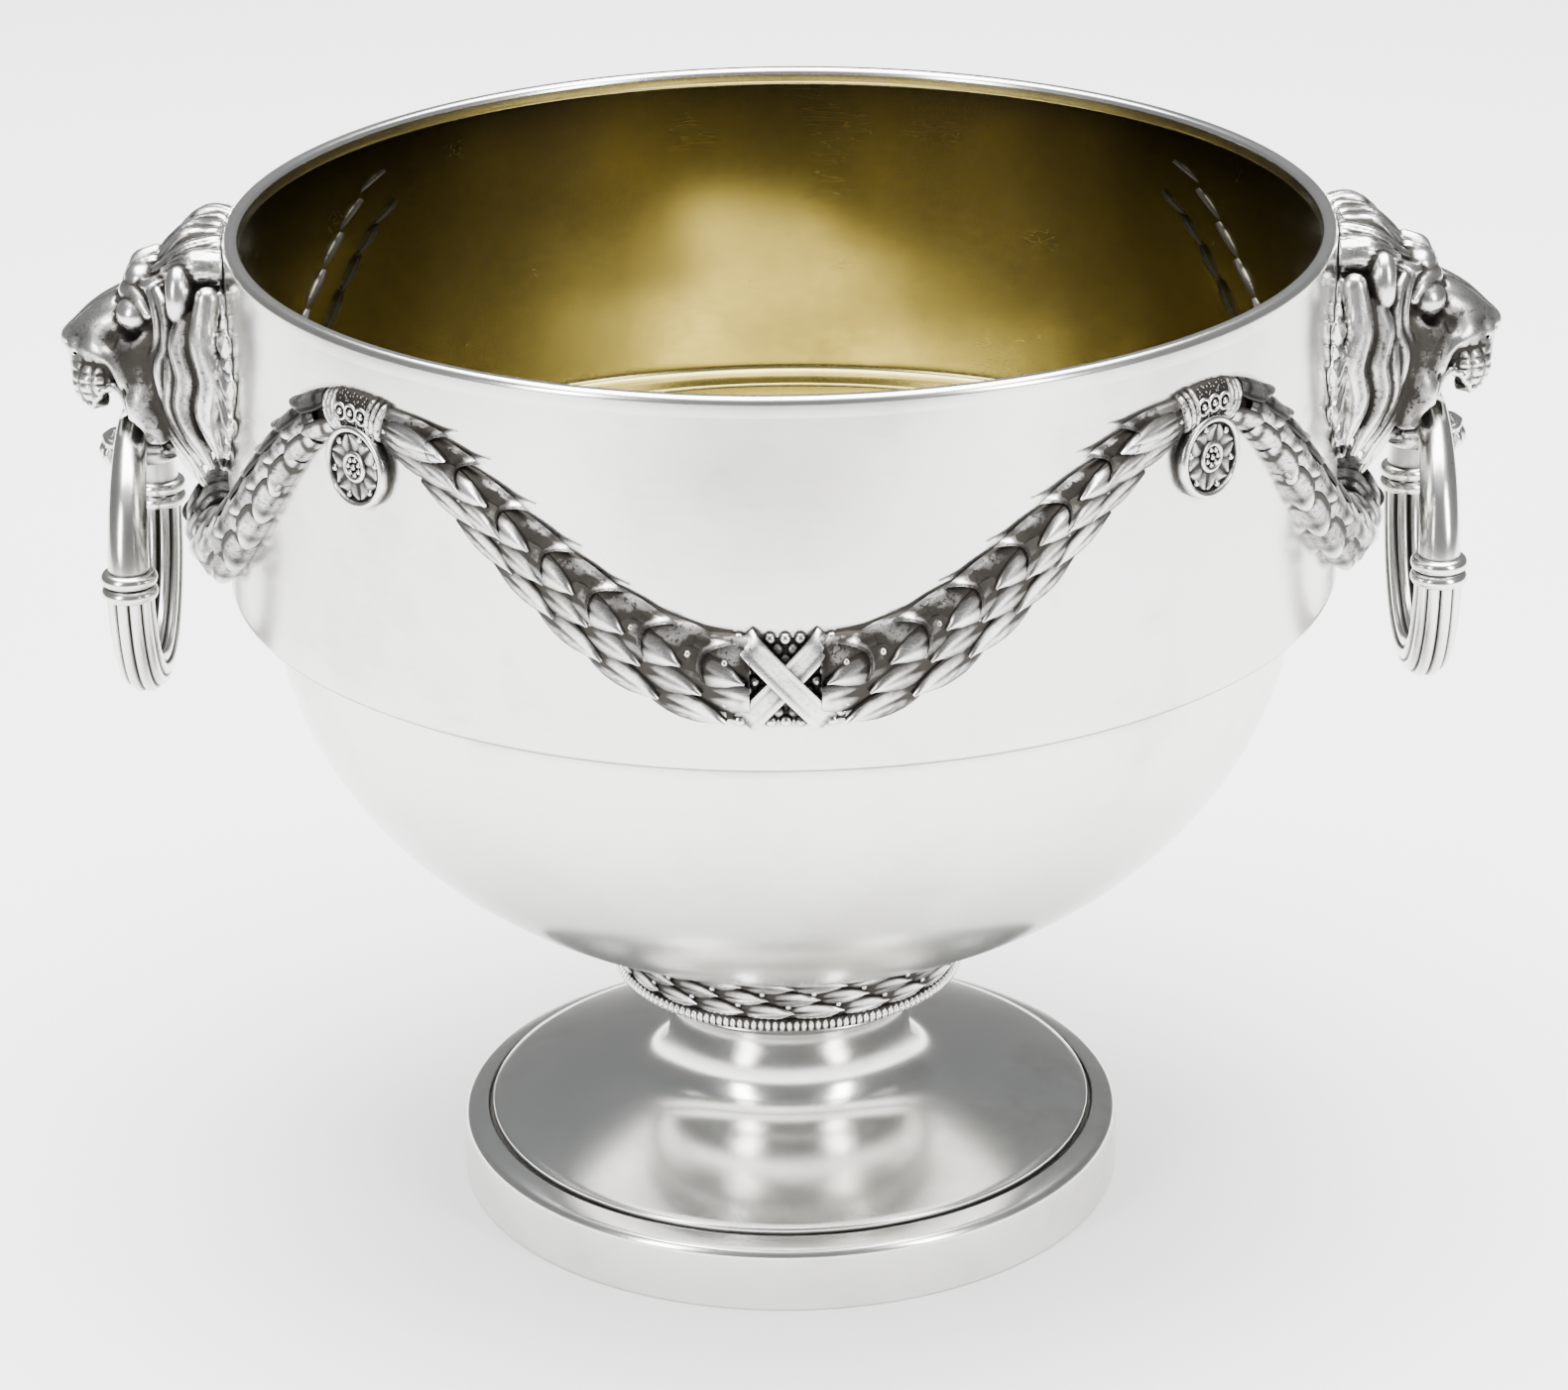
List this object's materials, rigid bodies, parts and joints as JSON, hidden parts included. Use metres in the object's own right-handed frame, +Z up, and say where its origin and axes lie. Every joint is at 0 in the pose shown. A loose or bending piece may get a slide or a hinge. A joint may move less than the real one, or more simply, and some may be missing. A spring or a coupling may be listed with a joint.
{
  "type": "footed wine cooler",
  "caption": "Footed silver champagne bucket with a gilt inside, a laurel garland round the drum and lion masks holding hinged rings.",
  "frame": {"origin": "centre of the foot's underside, on the surface that the bucket stands on", "axes": "+Z up along the bowl's axis; the lion masks and rings are on +X and -X; -Y is the front, where a crossed ribbon ties the garland"},
  "size_m": [0.341, 0.273, 0.247],
  "materials": {
    "polished_silver": "polished silver, finely scratched by years of cleaning",
    "cast_silver": "cast and chased silver, bright on the high points and black with tarnish in the hollows",
    "gilding": "worn satin gilding with fine circular scratches"
  },
  "bodies": {
    "bucket": {"foot_base": "polished_silver", "foot_stem": "polished_silver", "bead_wire": "polished_silver", "collar_band": "cast_silver", "bowl_bottom": "polished_silver", "bowl_drum": "polished_silver", "rim_moulding": "polished_silver", "gilt_lining": "gilding", "swag_front_left": "cast_silver", "swag_front_right": "cast_silver", "swag_back_left": "cast_silver", "swag_back_right": "cast_silver", "swag_side_left": "cast_silver", "swag_side_right": "cast_silver", "ribbon_tie_front": "cast_silver", "ribbon_tie_back": "cast_silver", "binding_front_left": "cast_silver", "binding_front_right": "cast_silver", "binding_back_left": "cast_silver", "binding_back_right": "cast_silver", "rosette_front_left": "cast_silver", "rosette_front_right": "cast_silver", "rosette_back_left": "cast_silver", "rosette_back_right": "cast_silver", "mane_plate_left": "cast_silver", "mane_plate_right": "cast_silver", "lion_head_left": "cast_silver", "lion_head_right": "cast_silver", "lion_jaw_left": "cast_silver", "lion_jaw_right": "cast_silver"},
    "ring_left": {"ring_shank_left": "polished_silver", "ring_collars_left": "polished_silver", "ring_reeding_left": "polished_silver"},
    "ring_right": {"ring_shank_right": "polished_silver", "ring_collars_right": "polished_silver", "ring_reeding_right": "polished_silver"}
  },
  "joints": [
    {"name": "left_ring_swing", "type": "hinge", "parent": "bucket", "child": "ring_left", "pos_m": [-0.1535, 0, 0.2003], "axis": [0, 1, 0], "range_deg": [-6, 80]},
    {"name": "right_ring_swing", "type": "hinge", "parent": "bucket", "child": "ring_right", "pos_m": [0.1535, 0, 0.2003], "axis": [0, -1, 0], "range_deg": [-6, 80]}
  ]
}
